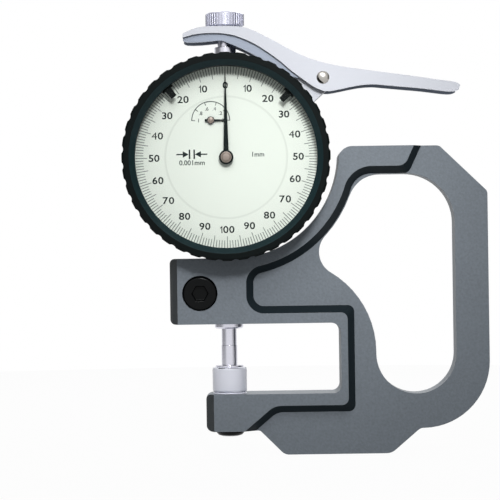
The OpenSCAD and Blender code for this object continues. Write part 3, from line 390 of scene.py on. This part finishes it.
dress("lift_lever", "plated_lift_lever", 0.12, [PLATED_LEVER, LEVER_INSIDE_SHADE], lever_face, angle=40,
      form=trimmed_tip)
for node, name, edge in (
        ("clamp_screw", "clamp_screw_black", 0.3), ("anvil_disc", "anvil_face_ceramic", 0.1),
        ("anvil_screw", "anvil_screw_black", 0.15), ("indicator_case", "case_shell", 0.2),
        ("stem", "stem_ground", 0.1), ("top_bush", "top_bush_ground", 0.2),
        ("back_cover", "back_cover_plate", 0.2), ("back_cover_screws", "back_cover_screw_heads", 0.1),
        ("spacer_ring", "spacer_ring_black", 0.1), ("dial_ring", "dial_ring_enamel", 0.03),
        ("dial_centre", "dial_centre_enamel", 0.03), ("crystal", "crystal_clear", 0.1),
        ("spindle", "spindle_ground", 0.08), ("contact_shank", "contact_shank_ground", 0.1),
        ("ceramic_contact", "ceramic_contact_white", 0.3),
        ("counter_pointer", "counter_pointer_black", 0.03),
        ("lever_bracket", "lever_bracket_plated", 0.3), ("bracket_screws", "bracket_screw_heads", 0.15)):
    dress(node, name, edge)

POINTER_TIP_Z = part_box("main_pointer")[1].z
POINTER_TAPER = 0.45
MARKER_SLIMMING = 0.35


def tapered(spot):
    """Slims the pointer towards its tip."""
    along = max(0.0, (spot.z - DIAL.z) / (POINTER_TIP_Z - DIAL.z))
    return Vector((DIAL.x + (spot.x - DIAL.x) * (1 - POINTER_TAPER * along), spot.y, spot.z))


def narrowed(node):
    """A form that slims a limit marker across its radius."""
    spine = middle(node)
    across = Vector((DIAL.z - spine.z, 0, spine.x - DIAL.x)).normalized()

    def slimmed(spot):
        return spot - across * (MARKER_SLIMMING * (spot - spine).dot(across))

    return slimmed


dress("main_pointer", "main_pointer_black", 0.03, form=tapered)
for side in ("left", "right"):
    dress("limit_marker_" + side, "limit_tab_" + side, 0.08, form=narrowed("limit_marker_" + side))


def ring_tree():
    """Geometry nodes that set copies of a mark round the Z axis, each turned with its angle."""
    tree = bpy.data.node_groups.new("marks_round_axis", "GeometryNodeTree")
    tree.interface.new_socket("Geometry", in_out="OUTPUT", socket_type="NodeSocketGeometry")
    for name, kind in (("Mark", "Object"), ("Count", "Int"), ("Radius", "Float"), ("Step Angle", "Float"),
                       ("Finish", "Material")):
        tree.interface.new_socket(name, in_out="INPUT", socket_type="NodeSocket" + kind)
    start = Wire(tree)
    given = tree.nodes.new("NodeGroupInput")

    def wanted(name):
        return Wire(tree, given.outputs[name])

    turn = start.add("GeometryNodeInputIndex") * wanted("Step Angle")
    spot = start.add("ShaderNodeCombineXYZ", values={
        "X": start.math("COSINE", turn) * wanted("Radius"),
        "Y": start.math("SINE", turn) * wanted("Radius")})
    points = start.add("GeometryNodePoints", values={"Count": wanted("Count"), "Position": spot})
    mark = start.add("GeometryNodeObjectInfo", values={"Object": wanted("Mark")}, out="Geometry")
    facing = start.add("ShaderNodeCombineXYZ", values={"Z": turn})
    copies = start.add("GeometryNodeInstanceOnPoints", values={
        "Points": points, "Instance": mark, "Rotation": facing})
    solid = start.add("GeometryNodeRealizeInstances", values={"Geometry": copies})
    painted = start.add("GeometryNodeSetMaterial", values={"Geometry": solid, "Material": wanted("Finish")})
    start.add("NodeGroupOutput", values={"Geometry": painted})
    return tree


RING = ring_tree()


def ring_of(mark_mesh, count, radius, finish, step=None):
    """One mesh of count copies of a mark round the Z axis, a step apart (degrees) or all the way round."""
    mark = show("mark", mark_mesh)
    carrier = show("marks", bpy.data.meshes.new("marks"))
    marks = carrier.modifiers.new("marks", "NODES")
    marks.node_group = RING
    inputs = {"Mark": mark, "Count": count, "Radius": radius * MM,
              "Step Angle": math.radians(step if step else 360 / count), "Finish": finish}
    for socket in RING.interface.items_tree:
        if socket.in_out == "INPUT":
            marks[socket.identifier] = inputs[socket.name]
    mesh = settled(carrier)
    bpy.data.objects.remove(mark)
    return mesh


def slab(outline, low, high):
    """A closed plate from an outline in X and Y, between two heights, all in mm."""
    shape = bmesh.new()
    bottom = [shape.verts.new((x * MM, y * MM, low * MM)) for x, y in outline]
    top = [shape.verts.new((x * MM, y * MM, high * MM)) for x, y in outline]
    shape.faces.new(top)
    shape.faces.new(bottom[::-1])
    for k in range(len(outline)):
        n = (k + 1) % len(outline)
        shape.faces.new((bottom[k], bottom[n], top[n], top[k]))
    bmesh.ops.recalc_face_normals(shape, faces=shape.faces)
    return as_mesh(shape, "slab")


# Marks are drawn flat, as seen from the front, and then stood on the dial's face
INK = 0.02
ON_DIAL = Matrix.Translation((DIAL.x, FACE_Y, DIAL.z)) @ UPRIGHT
ON_COUNTER = Matrix.Translation((COUNTER.x, FACE_Y, COUNTER.z)) @ UPRIGHT
# How much characters are thickened, except a four, whose hole would close
FIGURE_WEIGHT = 0.018
FIGURE_GAP = 0.1
FIGURE_WIDTH = 1.16
FLAGGED_ONE = [(0.02, -0.5), (0.165, -0.5), (0.165, 0.5), (0.07, 0.5), (0.015, 0.4), (-0.075, 0.32),
               (-0.165, 0.265), (-0.165, 0.14), (-0.065, 0.19), (0.02, 0.25)]


def bar(inner, outer, width):
    """A mark of ink along X from inner to outer, in mm."""
    half = width / 2
    return slab([(inner, -half), (outer, -half), (outer, half), (inner, half)], 0, INK)


def letters(text, height):
    """A line of characters as a plate of ink, centred on the origin; the tallest one has the height (mm)."""
    curve = bpy.data.curves.new("letters", "FONT")
    curve.body = text
    curve.align_x = "CENTER"
    curve.resolution_u = 4
    curve.offset = 0.0 if "4" in text else FIGURE_WEIGHT
    mesh = settled(show("letters", curve))
    xs = [v.co.x for v in mesh.vertices]
    ys = [v.co.y for v in mesh.vertices]
    size = height * MM / (max(ys) - min(ys))
    shift = Matrix.Translation((-(min(xs) + max(xs)) / 2, -(min(ys) + max(ys)) / 2, 0))
    mesh.transform(Matrix.Scale(size, 4) @ shift)
    shape = bmesh.new()
    shape.from_mesh(mesh)
    grown = bmesh.ops.extrude_face_region(shape, geom=shape.faces[:])
    for vert in [g for g in grown["geom"] if isinstance(g, bmesh.types.BMVert)]:
        vert.co.z += INK * MM
    bmesh.ops.recalc_face_normals(shape, faces=shape.faces)
    return as_mesh(shape, "letters")


def moved(mesh, x, y, turn=0.0):
    """Shifts a flat mark in its own plane, in mm, after turning it, in degrees."""
    mesh.transform(Matrix.Translation((x * MM, y * MM, 0)) @ Matrix.Rotation(math.radians(turn), 4, "Z"))
    return mesh


def figures(number, height):
    """The figures of a number side by side, centred on the origin, in mm; a one has its flag."""
    row = []
    edge = 0.0
    for sign in str(number):
        if sign == "1":
            figure = slab([(x * height, y * height) for x, y in FLAGGED_ONE], 0, INK)
        else:
            figure = letters(sign, height)
            figure.transform(Matrix.Diagonal((FIGURE_WIDTH, 1, 1, 1)))
        wide = 2 * max(v.co.x for v in figure.vertices) / MM
        row.append(moved(figure, edge + wide / 2, 0))
        edge += wide + FIGURE_GAP * height
    return [moved(figure, (FIGURE_GAP * height - edge) / 2, 0) for figure in row]


def together(name, meshes, finish):
    """Joins meshes of one finish."""
    shape = bmesh.new()
    for mesh in meshes:
        shape.from_mesh(mesh)
    whole = as_mesh(shape, name)
    whole.materials.append(finish)
    return whole


def print_on(name, meshes, finish, body, where=ON_DIAL):
    """Marks of one ink as a piece on the dial or on the small scale."""
    whole = together(name, meshes, finish)
    whole.transform(where)
    place(name, whole, body, "pointer_black")


TICK_OUT = 25.0
TICK_IN = 22.85
FIFTH_TICK_IN = 21.75
TICK_WIDTH = 0.16
DIVISIONS = 200
ticks = [
    ring_of(bar(0, TICK_OUT - TICK_IN, TICK_WIDTH), DIVISIONS, TICK_IN, FINE_INK),
    ring_of(bar(0, TICK_IN - FIFTH_TICK_IN, TICK_WIDTH), DIVISIONS // 5, FIFTH_TICK_IN, FINE_INK),
]
print_on("dial_ticks", ticks, FINE_INK, "bezel")

NUMERAL_R = 19.85
NUMERAL_H = 1.95
NUMERALS = DIVISIONS // 10
numerals = []
for k in range(NUMERALS):
    value = 10 * min(k, NUMERALS - k)
    angle = math.radians(90 - 360 / NUMERALS * k)
    spot = (NUMERAL_R * math.cos(angle), NUMERAL_R * math.sin(angle))
    numerals += [moved(figure, *spot) for figure in figures(value, NUMERAL_H)]
print_on("dial_numerals", numerals, DIAL_INK, "bezel")

# Two arrows that close on two jaws, left of the hub, with the division's size under them
SYMBOL_X = -9.45
SYMBOL_Y = 0.95
JAW_HALF = 1.3
JAW_WIDTH = 0.42
JAW_OFF = 0.65
ARROW = [(-4.25, 0.17), (-2.5, 0.17), (-2.5, 0.88), (-0.85, 0), (-2.5, -0.88), (-2.5, -0.17), (-4.25, -0.17)]
symbol = []
for side in (-1, 1):
    arrow = slab(ARROW, 0, INK)
    if side > 0:
        arrow.transform(Matrix.Rotation(math.pi, 4, "Z"))
    symbol.append(moved(arrow, SYMBOL_X, SYMBOL_Y))
    symbol.append(moved(bar(-JAW_HALF, JAW_HALF, JAW_WIDTH), SYMBOL_X + side * JAW_OFF, SYMBOL_Y, 90))
print_on("closing_arrows", symbol, DIAL_INK, "frame")
DIVISION_H = 1.4
DIVISION_Y = -1.35
TRAVEL_H = 1.3
TRAVEL_AT = (8.8, 0.75)
legend = [moved(letters("0.001mm", DIVISION_H), SYMBOL_X, DIVISION_Y),
          moved(letters("1mm", TRAVEL_H), *TRAVEL_AT)]
print_on("dial_legend", legend, FINE_INK, "frame")

# A pale ring over the seam between the turning dial ring and the fixed centre, made of wedges that meet
SEAM_R = radius_of("dial_centre")
SEAM_IN = -0.12
SEAM_OUT = 0.42
SEAM_STEPS = 240
spread = math.tan(math.pi / SEAM_STEPS)
inner_half = (SEAM_R + SEAM_IN) * spread
outer_half = (SEAM_R + SEAM_OUT) * spread
wedge = slab([(SEAM_IN, -inner_half), (SEAM_OUT, -outer_half),
              (SEAM_OUT, outer_half), (SEAM_IN, inner_half)], 0, INK / 2)
print_on("dial_seam", [ring_of(wedge, SEAM_STEPS, SEAM_R, SEAM_GREY)], SEAM_GREY, "frame")

# Half a circle of small pieces, with six marks and their figures inside it
ARC_R = 5.2
ARC_LINE = 0.2
ARC_HALF = 0.12
ARC_STEP = 2
ARC_MARK = 0.9
ARC_FIGURE_R = 3.35
ARC_FIGURE_H = 1.0
ARC_FIGURES = ("0", ".2", ".4", ".6", ".8", "1")
ARC_MARK_STEP = 36
arc = [ring_of(bar(-ARC_HALF, ARC_HALF, ARC_LINE), 180 // ARC_STEP + 1, ARC_R, FINE_INK, ARC_STEP),
       ring_of(bar(-ARC_MARK, 0, ARC_LINE), len(ARC_FIGURES), ARC_R, FINE_INK, ARC_MARK_STEP)]
for k, word in enumerate(ARC_FIGURES):
    angle = math.radians(ARC_MARK_STEP * k)
    spot = (ARC_FIGURE_R * math.cos(angle), ARC_FIGURE_R * math.sin(angle))
    arc.append(moved(letters(word, ARC_FIGURE_H), *spot))
print_on("counter_scale", arc, FINE_INK, "frame", ON_COUNTER)

TURNED_STEPS = 64
SHARP_BEND = 35


def turned(points):
    """A closed solid of revolution about Z from radius and height in mm; both ends lie on the axis."""
    shape = bmesh.new()
    rings = []
    for radius, height in points:
        if radius == 0:
            rings.append([shape.verts.new((0, 0, height * MM))])
            continue
        angles = [2 * math.pi * k / TURNED_STEPS for k in range(TURNED_STEPS)]
        rings.append([shape.verts.new((radius * MM * math.cos(a), radius * MM * math.sin(a), height * MM))
                      for a in angles])
    for lower, upper in zip(rings, rings[1:]):
        for k in range(TURNED_STEPS):
            n = (k + 1) % TURNED_STEPS
            if len(lower) == 1:
                shape.faces.new((lower[0], upper[n], upper[k]))
            elif len(upper) == 1:
                shape.faces.new((lower[k], lower[n], upper[0]))
            else:
                shape.faces.new((lower[k], lower[n], upper[n], upper[k]))
    bmesh.ops.recalc_face_normals(shape, faces=shape.faces)
    mesh = as_mesh(shape, "turned")
    for face in mesh.polygons:
        face.use_smooth = True
    mesh.set_sharp_from_angle(angle=math.radians(SHARP_BEND))
    return mesh


RIBS = 44
RIB_OUT = 0.16


def knurled_knob():
    """Domed knob with straight ribs round its side."""
    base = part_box("spindle")[1].z
    height = (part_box("lift_knob")[1].z - base) / MM
    radius = radius_of("lift_knob")
    root = radius - RIB_OUT
    body = turned([(0, -0.1), (1.2, -0.1), (1.2, 0), (radius - 0.5, 0), (root, 0.35), (root, height - 1.1),
                   (radius - 0.55, height - 0.72), (radius - 2.4, height - 0.22), (0, height)])
    rib = slab([(-0.1, -0.2), (0.06, -0.2), (RIB_OUT, -0.08), (RIB_OUT, 0.08), (0.06, 0.2), (-0.1, 0.2)],
               0.4, height - 1.2)
    knob = together("knurled_lift_knob", [body, ring_of(rib, RIBS, root, SATIN_CHROME)], SATIN_CHROME)
    knob.transform(Matrix.Translation((KNOB.x, KNOB.y, base)))
    place("knurled_lift_knob", knob, "spindle", "knob_chrome", "lift_knob")


knurled_knob()


def boss(name, node, back, profile, finishes, *replaced):
    """A turned piece on a node's axis, from its back (m) to the viewer.

    The last finish lies on what is above the profile's third point from the end.
    """
    mesh = turned(profile)
    for finish in finishes:
        mesh.materials.append(finish)
    for face in mesh.polygons:
        face.material_index = len(finishes) - 1 if face.center.z > profile[-3][1] * MM else 0
    axis = middle(node)
    mesh.transform(Matrix.Translation((axis.x, back, axis.z)) @ UPRIGHT)
    place(name, mesh, NODES[node]["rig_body"], SLOT_OF[node], *replaced)


deep, back = depth("pointer_hub")
boss("pointer_hub_cap", "pointer_hub", back,
     [(0, 0), (1.7, 0), (1.7, deep - 0.5), (1.5, deep - 0.38), (1.3, deep - 0.38), (1.0, deep - 0.1),
      (0, deep)], [POINTER_BLACK, HUB_BROWN], "pointer_hub")
deep, back = depth("counter_pointer")
boss("counter_hub_cap", "counter_arbor", back,
     [(0, 0.1), (0.95, 0.1), (0.95, deep + 0.15), (0.85, deep + 0.2), (0.75, deep + 0.2), (0.5, deep + 0.32),
      (0, deep + 0.34)], [POINTER_BLACK, HUB_BROWN])
deep, back = depth("lever_pin")
head_r = radius_of("lever_pin")
dome = [(0, 0), (0.55 * head_r, 0.08), (0.85 * head_r, 0.28), (head_r, 0.6), (head_r - 0.5, 0.6)]
front_dome = [(radius, deep - height) for radius, height in dome[::-1]]
boss("lever_rivet", "lever_pin", back, dome + front_dome, [RIVET_STEEL], "lever_pin")

for node, thing in NODES.items():
    if not thing.hide_render:
        thing.data.materials.clear()
        thing.data.materials.append(FINISH_OF_SLOT[SLOT_OF[node]])

# Stage, light and camera
FLOOR_Z = cad_box[0][2]
FLOOR_R = 450.0
FLOOR_DEEP = 2.0
FLOOR_GREY = (0.6, 0.6, 0.6, 1)
FLOOR_GLOW = 0.97
WHITE = (1, 1, 1, 1)
AMBIENT = 0.22
CARD_LEVEL = 0.25


def ray(start, kind):
    """1 for rays of one kind."""
    return start.add("ShaderNodeLightPath", out="Is " + kind + " Ray")


def stage_paint():
    """White floor for the eye, for gloss and through glass, with a trace of the shadow on it."""
    material = bpy.data.materials.new("stage_white")
    start = blank(material)
    lit = start.add("ShaderNodeBsdfDiffuse", values={"Color": FLOOR_GREY})
    glow = start.add("ShaderNodeEmission", values={"Color": WHITE, "Strength": 1.0})
    direct = start.math("MAXIMUM", ray(start, "Camera"), ray(start, "Glossy"))
    seen = start.math("MAXIMUM", direct, ray(start, "Transmission")) * FLOOR_GLOW
    start.add("ShaderNodeOutputMaterial", values={
        "Surface": start.add("ShaderNodeMixShader", values={0: seen, 1: lit, 2: glow})})
    return material


rim_angles = [math.radians(a) for a in range(0, 360, 5)]
floor_mesh = slab([(FLOOR_R * math.cos(a), FLOOR_R * math.sin(a)) for a in rim_angles], -FLOOR_DEEP, 0)
floor_mesh.transform(Matrix.Translation((0, 0, FLOOR_Z)))
floor = show("studio_floor", floor_mesh, [stage_paint()])


def studio_sky():
    """White backdrop for the eye and for glass; polished metal also sees dark cards far left and right."""
    world = bpy.data.worlds.new("studio")
    bpy.context.scene.world = world
    start = blank(world)
    toward = start.add("ShaderNodeTexCoord", out="Generated")
    aside = start.math("ABSOLUTE", start.add("ShaderNodeSeparateXYZ", values={"Vector": toward}, out="X"))
    card = start.add("ShaderNodeMapRange", {"interpolation_type": "SMOOTHSTEP"},
                     {"Value": aside, "From Min": 0.6, "From Max": 0.95, "To Min": 1.0,
                      "To Max": CARD_LEVEL})
    plain = start.math("MAXIMUM", ray(start, "Camera"), ray(start, "Transmission"))
    level = AMBIENT + ray(start, "Glossy") * (card - AMBIENT)
    backdrop = start.add("ShaderNodeBackground", values={
        "Color": WHITE, "Strength": start.math("MAXIMUM", plain, level)})
    start.add("ShaderNodeOutputWorld", values={"Surface": backdrop})


studio_sky()


def lamp(name, spot, aim, size, power, cone=None):
    """Soft square lamp, or a spot with a soft rim; mm, watts, and degrees for the cone."""
    light = bpy.data.lights.new(name, "SPOT" if cone else "AREA")
    light.energy = power
    if cone:
        light.spot_size = math.radians(cone)
        light.spot_blend = 1.0
        light.shadow_soft_size = size / 2 * MM
    else:
        light.size = size * MM
    thing = show(name, light)
    thing.location = Vector(spot) * MM
    thing.rotation_euler = (Vector(aim) - Vector(spot)).to_track_quat("-Z", "Y").to_euler()


lamp("key", (-20, -230, 260), (15, 0, 40), 160, 0.32)
lamp("dial_spot", (40, -390, 240), (18, 0, 58), 90, 5.1, 22)
lamp("back_fill", (40, 320, 280), (20, 0, 45), 200, 0.45)

LENS_PX = 2142.4
PICTURE_PX = 500
SENSOR = 36
CAMERA_AT = (6.17, -600, 39.63)
ROLL = -0.82
camera_data = bpy.data.cameras.new("camera")
camera_data.sensor_width = SENSOR
camera_data.lens = LENS_PX * SENSOR / PICTURE_PX
camera_data.clip_start = 10 * MM
camera = show("camera", camera_data)
camera.matrix_world = (Matrix.Translation(Vector(CAMERA_AT) * MM) @ UPRIGHT
                       @ Matrix.Rotation(math.radians(ROLL), 4, "Z"))
bpy.context.scene.camera = camera
bpy.context.scene.view_settings.view_transform = "Standard"
